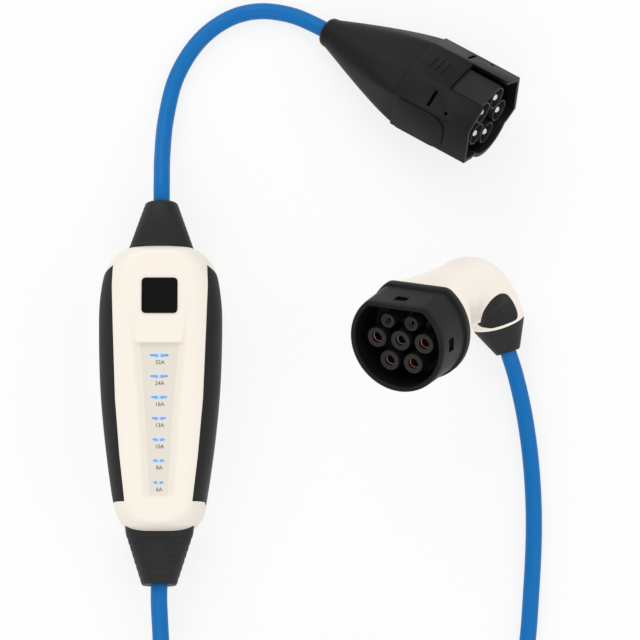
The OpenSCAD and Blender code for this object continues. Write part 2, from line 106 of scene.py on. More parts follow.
# Supply cable: blue polyurethane sheath with a satin skin, extruded over the cores. It leaves the
# top boot, drops to the table and rises into the plug. Its points repeat those of the solids, in metres.
grain = bpy.data.node_groups.new("surface grain", "ShaderNodeTree")
for name, kind, value in (("Vector", "NodeSocketVector", None), ("Scale", "NodeSocketFloat", 1500.0),
                          ("Strength", "NodeSocketFloat", 0.1), ("Roughness", "NodeSocketFloat", 0.4),
                          ("Spread", "NodeSocketFloat", 0.08)):
    socket = grain.interface.new_socket(name, in_out="INPUT", socket_type=kind)
    if value is not None:
        socket.default_value = value
grain.interface.new_socket("Normal", in_out="OUTPUT", socket_type="NodeSocketVector")
grain.interface.new_socket("Roughness", in_out="OUTPUT", socket_type="NodeSocketFloat")
given = grain.nodes.new("NodeGroupInput")
put = grain.nodes.new("NodeGroupOutput")
fine = grain.nodes.new("ShaderNodeTexNoise")
fine.inputs["Detail"].default_value = 3
relief = grain.nodes.new("ShaderNodeBump")
relief.inputs["Distance"].default_value = 0.0003
broad = grain.nodes.new("ShaderNodeTexNoise")
broad.inputs["Scale"].default_value = 60
centred = grain.nodes.new("ShaderNodeMath")
centred.operation = "SUBTRACT"
centred.inputs[1].default_value = 0.5
varied = grain.nodes.new("ShaderNodeMath")
varied.operation = "MULTIPLY_ADD"
for start, stop in (
    (given.outputs["Vector"], fine.inputs["Vector"]),
    (given.outputs["Scale"], fine.inputs["Scale"]),
    (given.outputs["Strength"], relief.inputs["Strength"]),
    (fine.outputs["Fac"], relief.inputs["Height"]),
    (relief.outputs["Normal"], put.inputs["Normal"]),
    (given.outputs["Vector"], broad.inputs["Vector"]),
    (broad.outputs["Fac"], centred.inputs[0]),
    (centred.outputs[0], varied.inputs[0]),
    (given.outputs["Spread"], varied.inputs[1]),
    (given.outputs["Roughness"], varied.inputs[2]),
    (varied.outputs[0], put.inputs["Roughness"]),
):
    grain.links.new(start, stop)


def finish(name, colour, rough, bump=0.0, scale=1500.0, metal=0.0, shine=0.5):
    # a plain finish whose roughness varies a little, with a fine grain where bump is given
    material = bpy.data.materials.new(name)
    material.use_nodes = True
    tree = material.node_tree
    shader = tree.nodes["Principled BSDF"]
    shader.inputs["Base Color"].default_value = (*colour, 1)
    shader.inputs["Metallic"].default_value = metal
    shader.inputs["Specular IOR Level"].default_value = shine
    where = tree.nodes.new("ShaderNodeTexCoord")
    skin = tree.nodes.new("ShaderNodeGroup")
    skin.node_tree = grain
    skin.inputs["Scale"].default_value = scale
    skin.inputs["Strength"].default_value = bump
    skin.inputs["Roughness"].default_value = rough
    tree.links.new(where.outputs["Object"], skin.inputs["Vector"])
    tree.links.new(skin.outputs["Roughness"], shader.inputs["Roughness"])
    if bump:
        tree.links.new(skin.outputs["Normal"], shader.inputs["Normal"])
    return material


def shade(code):
    # a six-figure screen colour as the linear values that a shader takes
    parts = [int(code[i:i + 2], 16) / 255 for i in (0, 2, 4)]
    return tuple(c / 12.92 if c < 0.04045 else ((c + 0.055) / 1.055) ** 2.4 for c in parts)


def smooth_line(points, steps):
    # an even curve through all the points
    p = [np.array(q, float) for q in points]
    out = []
    for i in range(len(p) - 1):
        a, b, c, d = p[max(i - 1, 0)], p[i], p[i + 1], p[min(i + 2, len(p) - 1)]
        for k in range(steps):
            t = k / steps
            out.append(0.5 * (2 * b + (c - a) * t + (2 * a - 5 * b + 4 * c - d) * t**2
                              + (3 * b - a - 3 * c + d) * t**3))
    out.append(p[-1])
    return out


def lay_cable(name, points, radius, material):
    data = bpy.data.curves.new(name, "CURVE")
    data.dimensions = "3D"
    data.bevel_depth = radius
    data.bevel_resolution = 8
    data.use_fill_caps = True
    line = data.splines.new("POLY")
    line.points.add(len(points) - 1)
    for point, place in zip(line.points, points):
        point.co = (*place, 1)
    data.materials.append(material)
    obj = bpy.data.objects.new(name, data)
    scene.collection.objects.link(obj)
    return obj


sheath = finish("cable sheath", shade("006cb4"), 0.42, 0.12, shine=0.2)
cable_d = 0.0113
route_steps = 12
supply_route = smooth_line([
    (0, 0.122, 0.028), (0, 0.131, 0.028), (0, 0.145, 0.028), (0, 0.166, 0.020), (0.002, 0.194, 0.0095),
    (0.009, 0.224, 0.0058), (0.024, 0.249, 0.0057), (0.044, 0.265, 0.0057), (0.066, 0.271, 0.0057),
    (0.090, 0.2675, 0.0065), (0.11265, 0.25625, 0.01025)], route_steps)
supply_cord = lay_cable("supply_cable", supply_route, cable_d / 2, sheath)
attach(supply_cord, "root")
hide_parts("supply_lead", "supply_end")

# Vehicle cable: the same sheath. It runs from the bottom boot to the table, winds inwards there
# and outwards on a second layer, in nine and a half turns beyond the picture's edge,
# and comes back to the connector.
coil_x, coil_y, coil_r, coil_inner_r = 0.124, -0.298, 0.0978, 0.0522
turn_pitch, lower_z, turn_points = 0.0114, 0.0073, 72
turns = []
for k in range(1, 9 * turn_points + turn_points // 2):
    wound = k / turn_points
    r = max(coil_r - turn_pitch * (wound if wound < 4.5 else 9 - wound), coil_inner_r)
    z = lower_z + cable_d * min(max((wound - 4.25) / 0.5, 0), 1)
    a = math.pi * (1 + 2 * wound)
    turns.append(np.array((coil_x + r * math.cos(a), coil_y + r * math.sin(a), z)))
way_in = smooth_line([
    (0, -0.122, 0.028), (0, -0.131, 0.028), (0, -0.145, 0.028), (0.001, -0.168, 0.019),
    (0.002, -0.194, 0.009), (0.006, -0.222, 0.0058), (0.014, -0.252, 0.006), (0.0225, -0.278, 0.0068),
    (0.0262, -0.298, 0.0073)], route_steps)
way_out = smooth_line([
    (0.2215, -0.298, 0.0186), (0.2222, -0.280, 0.0175), (0.227, -0.255, 0.013), (0.235, -0.228, 0.0085),
    (0.243, -0.202, 0.0058), (0.249, -0.170, 0.0057), (0.252, -0.135, 0.0057), (0.254, -0.100, 0.0057),
    (0.254, -0.070, 0.0057), (0.252, -0.040, 0.006), (0.248, -0.012, 0.0085), (0.2426, 0.012, 0.0119),
    (0.2373, 0.02895, 0.01475), (0.2305, 0.0496, 0.0183), (0.2259, 0.0637, 0.0207)], route_steps)
vehicle_route = way_in + turns + way_out
vehicle_cord = lay_cable("vehicle_cable", vehicle_route, cable_d / 2, sheath)
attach(vehicle_cord, "root")
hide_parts("vehicle_lead_a", "vehicle_lead_b", "cable_coil", "vehicle_end")


# Front shell of the control box: cream PC-ABS, injection moulded with a rolled edge. A tongue carries
# the badge and ends in a ledge over a channel with sloping sides. The skin is one sheet whose rows and
# columns follow these edges. From here on sizes are in millimetres, and places in the frame in metres.
def ease(t):
    # from 0 to 1 with a soft start and end
    t = np.clip(t, 0, 1)
    return t * t * (3 - 2 * t)


def stretched(rows, close=False, cap=False):
    # a flat sheet moved point by point on to the rows, joined side to side and filled at its end if asked
    rows = np.array(rows) * 0.001
    if close:
        rows = np.concatenate([rows, rows[:, :1]], axis=1)
    bm = bmesh.new()
    bmesh.ops.create_grid(bm, x_segments=rows.shape[1] - 1, y_segments=rows.shape[0] - 1, size=1)
    for vert, place in zip(bm.verts, rows.reshape(-1, 3)):
        vert.co = place
    if close:
        bmesh.ops.remove_doubles(bm, verts=bm.verts, dist=1e-7)
    if cap:
        at_end = {v for v in bm.verts if np.abs(rows[-1] - np.array(v.co)).max(axis=1).min() < 1e-6}
        end_loop = [e for e in bm.edges if e.is_boundary and at_end.issuperset(e.verts)]
        bmesh.ops.edgeloop_fill(bm, edges=end_loop)
    bmesh.ops.recalc_face_normals(bm, faces=bm.faces)
    return bm


def as_piece(name, bm, material, sharp=40):
    data = bpy.data.meshes.new(name)
    for f in bm.faces:
        f.smooth = True
    bm.to_mesh(data)
    bm.free()
    data.set_sharp_from_angle(angle=math.radians(sharp))
    data.materials.append(material)
    obj = bpy.data.objects.new(name, data)
    scene.collection.objects.link(obj)
    return obj


def fit(obj, slot, *solids):
    # every piece is on the one body; the solids are those that it is drawn in place of
    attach(obj, "root")
    if solids:
        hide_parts(*solids)


case_half_len, case_half_w = 98, 41.5
seam_z, wall_top, crown = 16.2, 36, 20
roll, end_share = 19.0, 0.4
channel_z, ledge_y = 53.6, 28.5
ledge_top, ledge_run = 29.3, 1.0
foot_y, foot_run = -79.5, 7
floor_end, floor_run = -76.5, 1.5
groove_end, groove_run = 80, 12
tongue_in, tongue_slope = 1.1, 1.6
rim = np.array(smooth_line([
    (0, 98), (12, 97.7), (22.5, 96.2), (31, 90.8), (36.8, 82), (40, 69), (41.5, 48), (40.4, 4), (36.8, -36),
    (31, -77), (27.3, -87.6), (20.8, -94.2), (11.5, -97.3), (0, -98)], 16))


def half_width(y):
    # of the case's outline, below zero past its ends
    return np.interp(y, rim[::-1, 1], rim[::-1, 0], left=-1, right=-1)


def crown_z(x, y):
    # the outline draws in by the roll at the sides and by a share of it at the ends, on an elliptic edge
    low, high = np.zeros_like(x), np.full_like(x, roll)
    for _ in range(24):
        inset = (low + high) / 2
        end_scale = 1 - end_share * inset / case_half_len
        inside = np.abs(x) <= (1 - inset / case_half_w) * half_width(y / end_scale)
        low, high = np.where(inside, inset, low), np.where(inside, high, inset)
    return wall_top + crown * np.sqrt(1 - (1 - low / roll) ** 2)


# The channel is painted a darker cream. This is painted shade for the light that the channel's sides and
# ledge keep out, and the skin carries a mark of how deep in this shade each point lies.
cream_colour, channel_shade_colour = shade("f4ece0"), shade("e2dbd0")
cream = finish("cream shell", cream_colour, 0.36, 0.04, 2500.0, shine=0.35)
cream_face_shaded = finish("cream face, painted channel shade", cream_colour, 0.36, 0.04, 2500.0, shine=0.35)
nodes, links = cream_face_shaded.node_tree.nodes, cream_face_shaded.node_tree.links
painted_shade_mark = nodes.new("ShaderNodeAttribute")
painted_shade_mark.attribute_name = "painted_shade"
channel_shade_mix = nodes.new("ShaderNodeMix")
channel_shade_mix.data_type = "RGBA"
channel_shade_mix.inputs["A"].default_value = (*cream_colour, 1)
channel_shade_mix.inputs["B"].default_value = (*channel_shade_colour, 1)
links.new(painted_shade_mark.outputs["Fac"], channel_shade_mix.inputs["Factor"])
links.new(channel_shade_mix.outputs["Result"], nodes["Principled BSDF"].inputs["Base Color"])

ledge_rows = np.arange(27.6, 29.9, 0.1)
foot_rows = np.arange(-81, -71, 0.4)
end_rows = case_half_len - 8.4 * np.linspace(0.06, 1, 20) ** 2
close_rows = np.concatenate([ledge_rows, foot_rows, end_rows, -end_rows])
wide_rows = np.arange(-89, 89.2, 0.8)
wide_rows = wide_rows[np.abs(wide_rows[:, None] - close_rows).min(1) > 0.35]
wall = [(0.6, seam_z), (0.15, 16.3), (0, 16.7), (0, 20), (0, 25), (0, 30), (0, 34)]
surface, painted_shade = [], []
for y in np.sort(np.concatenate([close_rows, wide_rows])):
    w = half_width(y)
    below = ease((ledge_top - y) / ledge_run)
    tongue = np.interp(y, [30, 73, 98], [16.6, 20.8, 22])
    floor_edge = np.interp(y, [-74, -9, ledge_y], [5.9, 9.8, 13])
    rim_edge = np.interp(y, [-79, -9, ledge_y, 73], [12.5, 16.5, 20, 21.5])
    third = min(rim_edge, 0.8 * w)
    second = (tongue + 0.5) * (1 - below) + (floor_edge + rim_edge) / 2 * below
    second = min(second, 0.9 * third)
    first = (tongue - tongue_in) * (1 - below) + floor_edge * below
    first = min(first, 0.9 * second)
    x = np.concatenate([np.linspace(0, first, 10)[:-1], np.linspace(first, second, 8)[:-1],
                        np.linspace(second, third, 8)[:-1],
                        third + (w - third) * np.sin(np.linspace(0, math.pi / 2, 32))])
    x = np.concatenate([-x[:0:-1], x])
    z = crown_z(x, np.full_like(x, y))
    side_slope = ease((rim_edge - np.abs(x)) / (rim_edge - floor_edge))
    channel = side_slope * ease((y - foot_y) / foot_run)
    beside_tongue = ease((np.abs(x) - tongue + tongue_in) / tongue_slope)
    groove = side_slope * beside_tongue * ease((groove_end - y) / groove_run)
    sunk = (channel * below + groove * (1 - below)) * (z > channel_z)
    z = z - (z - channel_z) * sunk
    on_floor = ease((floor_edge + 0.5 - np.abs(x)) / 0.5)
    floor_shade = on_floor * below * ease((y - floor_end) / floor_run)
    # painted shade: the channel's sloping sides and its floor are marked for the darker cream
    painted_shade.append(np.pad(0.5 * sunk + 0.5 * floor_shade, len(wall)))
    left = [(-w + inset, y, h) for inset, h in wall]
    right = [(w - inset, y, h) for inset, h in wall[::-1]]
    surface.append(np.array(left + [(across, y, h) for across, h in zip(x, z)] + right))
surface.insert(0, surface[0] * (1, 1, 0) + (0, 0, seam_z))
surface.append(surface[-1] * (1, 1, 0) + (0, 0, seam_z))
end_painted_shade = np.zeros(len(painted_shade[0]))
front = as_piece("front_case", stretched(surface), cream_face_shaded)
painted_shade_values = front.data.attributes.new("painted_shade", "FLOAT", "POINT")
painted_shade_values.data.foreach_set("value", np.concatenate([end_painted_shade, *painted_shade, end_painted_shade]))
fit(front, "cream", "front_shell")

# Rear shell: the same cream plastic, moulded as a shallow tray with rounded lower edges.
# It is screwed to the front shell from behind.
loop = np.concatenate([rim, rim[-2:0:-1] * (-1, 1)])
along_loop = np.roll(loop, -1, 0) - np.roll(loop, 1, 0)
outward = np.column_stack([-along_loop[:, 1], along_loop[:, 0]])
outward /= np.linalg.norm(along_loop, axis=1)[:, None]


def drawn_in(sections):
    # the case's outline at each height, drawn in by the given inset
    return [np.column_stack([loop - outward * inset, np.full(len(loop), z)]) for z, inset in sections]


tray = drawn_in([(15.75, 1.0), (15.75, 0.2), (15.4, 0), (12, 0), (9, 0.35), (6, 1), (4, 1.9), (2.4, 3),
                 (1.2, 4.3), (0.4, 5.8), (0.05, 7.4)])
fit(as_piece("rear_case", stretched(tray, close=True, cap=True), cream), "cream", "rear_shell")

# Seal: a black rubber cord pressed between the two shells when they are screwed together.
# Only a thin dark line of it shows in the seam.
seal_mat = finish("seal rubber", shade("1a1a1a"), 0.7, 0.1, 2000.0, shine=0.2)
seal = drawn_in([(15.2, 1.4), (15.2, 0.5), (16.6, 0.5), (16.6, 1.4), (15.2, 1.4)])
fit(as_piece("case_seal", stretched(seal, close=True), seal_mat), "boot_rubber", "shell_gasket")

# Side grips: charcoal soft-touch elastomer, moulded over the front shell.
# Each lies on the roll of the case and down its wall, and stands a little proud with rounded edges.
grip_sink, grip_proud, grip_edge, grip_len = 0.7, 0.3, 1.3, 160
grip_low, grip_high = -79.5, 84
grip_mat = finish("soft grip", shade("1a1a1a"), 0.6, 0.25, 1800.0, shine=0.3)
edge_share = np.array([0, 0.0012, 0.004, 0.009, 0.016])
grip_run = np.concatenate([edge_share, np.linspace(0.025, 0.975, 120), 1 - edge_share[::-1]])
wall_z = np.array([33, 29, 25, 22, 20, 19.2, 18.7, 18.4, 18.3])
over_roll = np.concatenate([[0, 0.02, 0.06, 0.12, 0.2], np.linspace(0.28, 1, 20), np.ones(len(wall_z))])
sheet = []
for t in grip_run:
    y = (grip_low + 1.4 * over_roll) * (1 - t) + (grip_high - 5.2 * over_roll) * t
    inner_edge = np.interp(y, [grip_low, -48, -9, 40, 69, grip_high], [22.4, 26, 29.3, 31.2, 32.2, 31.6])
    x = inner_edge + (half_width(y) - inner_edge) * np.sin(over_roll * math.pi / 2)
    z = crown_z(x, y)
    z[-len(wall_z):] = wall_z
    sheet.append(np.column_stack([x, y, z]))
sheet = np.array(sheet)
proud_way = np.cross(np.gradient(sheet, axis=1), np.gradient(sheet, axis=0))
proud_way /= np.linalg.norm(proud_way, axis=2)[..., None]
proud_way *= np.sign(proud_way[len(sheet) // 2, 3, 2])
steps_down = np.linalg.norm(np.diff(sheet, axis=1), axis=2)
run_down = np.concatenate([np.zeros((len(sheet), 1)), np.cumsum(steps_down, axis=1)], axis=1)
from_ends = (grip_len * np.minimum(grip_run, 1 - grip_run))[:, None]
from_edge = np.minimum(np.minimum(run_down, run_down[:, -1:] - run_down), from_ends)
edge_round = np.sqrt(1 - (1 - np.clip(from_edge / grip_edge, 0, 1)) ** 2)
sheet = sheet + proud_way * (-grip_sink + (grip_sink + grip_proud) * edge_round)[..., None]
for name, node, side in (("grip_right", "right_grip", 1), ("grip_left", "left_grip", -1)):
    grip = stretched(sheet * (side, 1, 1))
    grip.normal_update()
    if sum(f.normal.z for f in grip.faces) < 0:
        bmesh.ops.reverse_faces(grip, faces=grip.faces)
    fit(as_piece(name, grip, grip_mat), "soft_grip", node)


# Badge: a glossy black polycarbonate plate with rounded corners,
# pressed into a pocket in the tongue.
def plate(name, outline, bottom, top, bevel, material):
    # a flat plate with its upper edge rounded
    bm = bmesh.new()
    base = bm.faces.new([bm.verts.new((x * 0.001, y * 0.001, bottom * 0.001)) for x, y in outline])
    raised = bmesh.ops.extrude_face_region(bm, geom=[base])["geom"]
    upper = [v for v in raised if isinstance(v, bmesh.types.BMVert)]
    bmesh.ops.translate(bm, verts=upper, vec=(0, 0, (top - bottom) * 0.001))
    bmesh.ops.recalc_face_normals(bm, faces=bm.faces)
    upper_edges = [e for e in bm.edges if all(v in upper for v in e.verts)]
    bmesh.ops.bevel(bm, geom=upper_edges, offset=bevel * 0.001, offset_type="OFFSET", segments=3,
                    profile=0.5, affect="EDGES", material=-1)
    return as_piece(name, bm, material)


badge_side, badge_y, badge_corner = 24.4, 61, 2.8
badge_bottom, badge_top = 55.2, 56.9
badge_line = []
for sx, sy, quarter in ((1, 1, 0), (-1, 1, 90), (-1, -1, 180), (1, -1, 270)):
    cx, cy = sx * (badge_side / 2 - badge_corner), badge_y + sy * (badge_side / 2 - badge_corner)
    for a in np.radians(np.linspace(quarter, quarter + 90, 9)):
        badge_line.append((cx + badge_corner * math.cos(a), cy + badge_corner * math.sin(a)))
badge_mat = finish("badge black", shade("070605"), 0.14, shine=0.12)
badge = plate("badge", badge_line, badge_bottom, badge_top, 0.4, badge_mat)
fit(badge, "badge_black", "badge_plate")

# Light bars: seven clear blue lenses, moulded as one strip, snapped into the channel floor and lit
# from behind. Each is brightest in its middle, over its diode, and they grow shorter down the channel.
bar_amps = (32, 24, 16, 13, 10, 8, 6)
bar_y = (20.2, 5.9, -8.4, -22.8, -37.3, -51.6, -66.4)
bar_w = (13, 12.2, 10.9, 9.9, 8.7, 8, 7.2)
bar_bottom, bar_top = 52.9, 53.75
light_mat = bpy.data.materials.new("light bar")
light_mat.use_nodes = True
nodes, links = light_mat.node_tree.nodes, light_mat.node_tree.links
lens = nodes["Principled BSDF"]
lens.inputs["Base Color"].default_value = (*shade("1c3c78"), 1)
lens.inputs["Roughness"].default_value = 0.25
lens.inputs["Emission Strength"].default_value = 0.9
where = nodes.new("ShaderNodeTexCoord")
parted = nodes.new("ShaderNodeSeparateXYZ")
links.new(where.outputs["Object"], parted.inputs[0])
off_middle = nodes.new("ShaderNodeMath")
off_middle.operation = "ABSOLUTE"
links.new(parted.outputs["X"], off_middle.inputs[0])
glow_span = nodes.new("ShaderNodeMapRange")
glow_span.inputs["From Min"].default_value = 0.0005
glow_span.inputs["From Max"].default_value = 0.0055
links.new(off_middle.outputs[0], glow_span.inputs["Value"])
glow = nodes.new("ShaderNodeValToRGB")
glow.color_ramp.elements[0].color = (*shade("a4ecff"), 1)
glow.color_ramp.elements[1].color = (*shade("4a86e4"), 1)
for at, code in ((0.22, "5f9ef0"), (0.6, "7db6f7")):
    glow.color_ramp.elements.new(at).color = (*shade(code), 1)
links.new(glow_span.outputs[0], glow.inputs[0])
links.new(glow.outputs[0], lens.inputs["Emission Color"])
upper_edge = ((0.5, 0.25), (0.46, 0.7), (0.38, 0.95), (-0.38, 0.95), (-0.46, 0.7), (-0.5, 0.25))
for y, w, amps in zip(bar_y, bar_w, bar_amps):
    bar_line = [(w * t, y + h) for t, h in upper_edge]
    bar_line += [(t * w / 2, y - 0.15 - 1.0 * (1 - t * t)) for t in np.linspace(-0.96, 0.96, 13)]
    bar = plate("light_bar_%d" % amps, bar_line, bar_bottom, bar_top, 0.15, light_mat)
    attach(bar, "root")
    if amps == 32:
        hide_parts("light_lenses")

# Current marks: small grey-brown figures, pad printed on the channel floor
# below each light.
mark_size, mark_x, mark_drop, mark_z = 3.8, 0.5, 5.9, 53.63
ink = finish("printed ink", shade("6f665d"), 0.6)
for y, amps in zip(bar_y, bar_amps):
    words = bpy.data.curves.new("mark_%d" % amps, "FONT")
    words.body = "%dA" % amps
    words.size = mark_size * 0.001
    words.offset = 0.00005
    words.extrude = 0.00002
    words.align_x = "CENTER"
    words.resolution_u = 4
    holder = bpy.data.objects.new("mark source", words)
    scene.collection.objects.link(holder)
    bpy.context.view_layer.update()
    data = bpy.data.meshes.new_from_object(holder.evaluated_get(bpy.context.evaluated_depsgraph_get()))
    bpy.data.objects.remove(holder)
    data.transform(Matrix.Translation(Vector((mark_x, y - mark_drop, mark_z)) * 0.001))
    data.materials.clear()
    data.materials.append(ink)
    mark = bpy.data.objects.new("mark_%d" % amps, data)
    scene.collection.objects.link(mark)
    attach(mark, "root")


# Cable boots of the box: charcoal rubber strain reliefs, moulded on the cables and clamped between
# the shells. The upper one has shallow waves, the lower one stepped ribs, and both are flattened
# where they enter the case.
def eased_profile(points, radius, steps=5):
    # each corner of the profile becomes a short curve
    points = [np.array(q, float) for q in points]
    out = [points[0]]
    for a, b, c in zip(points, points[1:], points[2:]):
        u, v = a - b, c - b
        cut = min(radius, 0.45 * np.linalg.norm(u), 0.45 * np.linalg.norm(v))
        p, q = b + u / np.linalg.norm(u) * cut, b + v / np.linalg.norm(v) * cut
        for k in range(steps + 1):
            t = k / steps
            out.append((1 - t) ** 2 * p + 2 * t * (1 - t) * b + t * t * q)
    return out + [points[-1]]


def turned(name, profile, places, material):
    # the profile is spun round its own axis once, and a copy is set at each further place
    bm = bmesh.new()
    verts = [bm.verts.new((r * 0.001, 0, z * 0.001)) for r, z in profile]
    lines = [bm.edges.new(pair) for pair in zip(verts, verts[1:])]
    bmesh.ops.spin(bm, geom=verts + lines, cent=(0, 0, 0), axis=(0, 0, 1), angle=2 * math.pi, steps=72,
                   use_merge=True, use_duplicate=False)
    bmesh.ops.remove_doubles(bm, verts=bm.verts, dist=1e-7)
    bmesh.ops.recalc_face_normals(bm, faces=bm.faces)
    first = list(bm.verts) + list(bm.edges) + list(bm.faces)
    for place in places[1:]:
        copy = bmesh.ops.duplicate(bm, geom=first)["geom"]
        bmesh.ops.transform(bm, matrix=place, verts=[v for v in copy if isinstance(v, bmesh.types.BMVert)])
    bmesh.ops.transform(bm, matrix=places[0], verts=[v for v in first if isinstance(v, bmesh.types.BMVert)])
    return as_piece(name, bm, material)


boot_axis_z = 0.028
boot_low = 0.62
flat_until, flat_run = 99, 26


def flattened(boot):
    # lower than wide at the case, round again towards the cable
    for v in boot.data.vertices:
        height = boot_low + (1 - boot_low) * float(ease((abs(v.co.y) * 1000 - flat_until) / flat_run))
        v.co.z = boot_axis_z + (v.co.z - boot_axis_z) * height
    return boot


boot_mat = finish("boot rubber", shade("1e1e1e"), 0.55, 0.2, 1600.0, shine=0.3)
on_axis = Matrix.Translation((0, 0, boot_axis_z))
towards_plug = on_axis @ Matrix.Rotation(math.radians(-90), 4, "X")
towards_coil = on_axis @ Matrix.Rotation(math.radians(90), 4, "X")
waves = [(0, 84), (23.4, 84), (23.4, 90), (22.3, 98)]
for k in range(9):
    r, z = 21.9 - 1.17 * k, 99 + 3.3 * k
    waves += [(r + 0.1, z), (r - 1.0, z + 2.7), (r - 1.1, z + 3.0)]
waves += [(11, 129.6), (8.6, 131), (5.7, 131), (5.7, 128)]
boot_top = flattened(turned("boot_top", eased_profile(waves, 1.2), [towards_plug], boot_mat))
fit(boot_top, "boot_rubber", "top_boot")
ribs = [(0, 84), (23.6, 84), (23.6, 90), (23, 97)]
for k in range(8):
    r, z = 22.9 - 1.4 * k, 97 + 4.4 * k
    ribs += [(r, z + 0.3), (r - 0.85, z + 3.7), (r - 1.4, z + 4.0)]
ribs += [(11.7, 132.6), (5.7, 132.6), (5.7, 129)]
boot_bottom = flattened(turned("boot_bottom", eased_profile(ribs, 0.6, 3), [towards_coil], boot_mat))
fit(boot_bottom, "boot_rubber", "bottom_boot")


# Plug housing: black glass-filled nylon, injection moulded. Its solid is taken from the frame
# and its edges are rounded as a mould leaves them.
def softened(name, node, width, material, segments=2):
    # a copy of the solid's mesh with its sharp edges rounded
    bm = bmesh.new()
    bm.from_mesh(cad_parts[node].data)
    bmesh.ops.remove_doubles(bm, verts=bm.verts, dist=2e-6)
    bmesh.ops.dissolve_limit(bm, angle_limit=math.radians(1.5), verts=bm.verts, edges=bm.edges)
    corners = [e for e in bm.edges if len(e.link_faces) == 2 and e.calc_face_angle(0) > math.radians(28)]
    bmesh.ops.bevel(bm, geom=corners, offset=width * 0.001, offset_type="OFFSET", segments=segments,
                    profile=0.5, affect="EDGES", clamp_overlap=True, material=-1)
    bmesh.ops.triangulate(bm, faces=[f for f in bm.faces if len(f.verts) > 4])
    return as_piece(name, bm, material, sharp=32)


black = finish("black plastic", shade("101011"), 0.45, 0.12, 2200.0, shine=0.18)
plug = (Matrix.Translation((0.2262, 0.1853, 0.04362)) @ Matrix.Rotation(math.radians(-32), 4, "Z")
        @ Matrix.Rotation(math.radians(76), 4, "Y") @ Matrix.Rotation(math.radians(62), 4, "Z"))
fit(softened("plug_body", "plug_housing", 0.8, black), "black_plastic", "plug_housing")

# Plug tail: one smooth nylon moulding, screwed to the housing, from the housing's eight-sided section
# to the round end that grips the cable. The corners fade out on the way.
housing_back, tail_len, tail_end_r = -61, 71, 10.8
section = np.array([(32.2, 14), (14.7, 24.2), (-14.7, 24.2), (-32.2, 14), (-32.2, -15.4), (-22.3, -19.2),
                    (22.3, -19.2), (32.2, -15.4)])
bearing = np.radians(np.arange(0, 360, 2.5))
nearness = np.zeros(len(bearing))
for a, b in zip(section, np.roll(section, -1, 0)):
    side_way = np.array((b[1] - a[1], a[0] - b[0])) / np.linalg.norm(b - a)
    facing = np.cos(bearing) * side_way[0] + np.sin(bearing) * side_way[1]
    nearness = np.maximum(nearness, np.where(np.abs(facing) > 1e-6, facing / abs(a @ side_way), 0))
section_r = 1 / nearness
apart = np.abs(bearing[:, None] - bearing)
apart = np.minimum(apart, 2 * math.pi - apart)


def round_about(radius, z):
    # one ring of the tail, with a radius for each bearing
    return np.column_stack([radius * np.cos(bearing), radius * np.sin(bearing), np.full(len(bearing), z)])


tail_rings = []
for t in np.concatenate([[0, 0.006], np.linspace(0.03, 1, 32)]):
    blur = np.exp(-0.5 * (apart / math.radians(1.5 + 16 * t)) ** 2)
    start_r = blur @ section_r / blur.sum(1) - (0.8 if t == 0 else 0)
    radius = tail_end_r + (1 - t ** 1.35) * (start_r - tail_end_r)
    tail_rings.append(round_about(radius, housing_back - tail_len * t))
for radius, z in ((10.5, -134.5), (9.9, -136.4), (8.8, -137.6), (7.4, -138), (5, -138)):
    tail_rings.append(round_about(radius, z))
tail = as_piece("plug_tail", stretched(tail_rings, close=True), black)
tail.data.transform(plug)
for v in tail.data.vertices:
    v.co.z = max(v.co.z, 0.0002)
fit(tail, "black_plastic", "plug_cap")

# Grip panels: raised fields moulded on the two sides of the plug's housing, in the same nylon,
# with a broad round front end.
panel_back, panel_front, panel_corner = -56, -28, 9
panel_low, panel_high = -15.2, 13.2
panel_bottom, panel_top = 32.4, 34.4
panel_line = [(panel_back, panel_low), (panel_back, panel_high)]
quarter_turn = np.linspace(0, math.pi / 2, 9)
for a in quarter_turn:
    panel_line.append((panel_front + panel_corner * math.sin(a),
                       panel_high - panel_corner + panel_corner * math.cos(a)))
for a in quarter_turn:
    panel_line.append((panel_front + panel_corner * math.cos(a),
                       panel_low + panel_corner - panel_corner * math.sin(a)))
for name, side in (("plug_panel_right", 1), ("plug_panel_left", -1)):
    panel = plate(name, panel_line, panel_bottom, panel_top, 0.5, black)
    panel.data.transform(plug @ Matrix(((0, 0, side, 0), (0, 1, 0, 0), (1, 0, 0, 0), (0, 0, 0, 1))))
    if side > 0:
        panel.data.flip_normals()
    fit(panel, "black_plastic")

# Plug contacts: a moulded nylon insert with five wells, and a nickel-plated brass pin pressed into each.
# The pins are set a little nearer the mouth than in the solids, so that they show.
pin_forward = 2.2
insert = finish("insert black", shade("1c1c1d"), 0.5, 0.1, 2200.0, shine=0.3)
nickel = finish("plated pin", (0.72, 0.7, 0.67), 0.22, metal=1.0)
fit(softened("plug_insert", "plug_plate", 0.4, insert), "black_plastic", "plug_plate")
fit(softened("pin_wells", "pin_shrouds", 0.25, insert), "black_plastic", "pin_shrouds")
pins = softened("pins", "plug_pins", 0.5, nickel, segments=3)
pins.data.transform(plug @ Matrix.Translation((0, 0, pin_forward * 0.001)) @ plug.inverted())
fit(pins, "pin_metal", "plug_pins")

# Connector nose: a black nylon shroud, round with a flat top and a broad rounded rim, injection
# moulded. A collar runs round its back, and two lock pockets are sunk in its top and its side.
nose = (Matrix.Translation((0.1586, 0.0163, 0.1229)) @ Matrix.Rotation(math.radians(225), 4, "Z")
        @ Matrix.Rotation(math.radians(41.5), 4, "Y") @ Matrix.Rotation(math.radians(130), 4, "Z"))
nose_r, nose_flat, nose_corner = 35, 28, 7
pocket_depth = 2


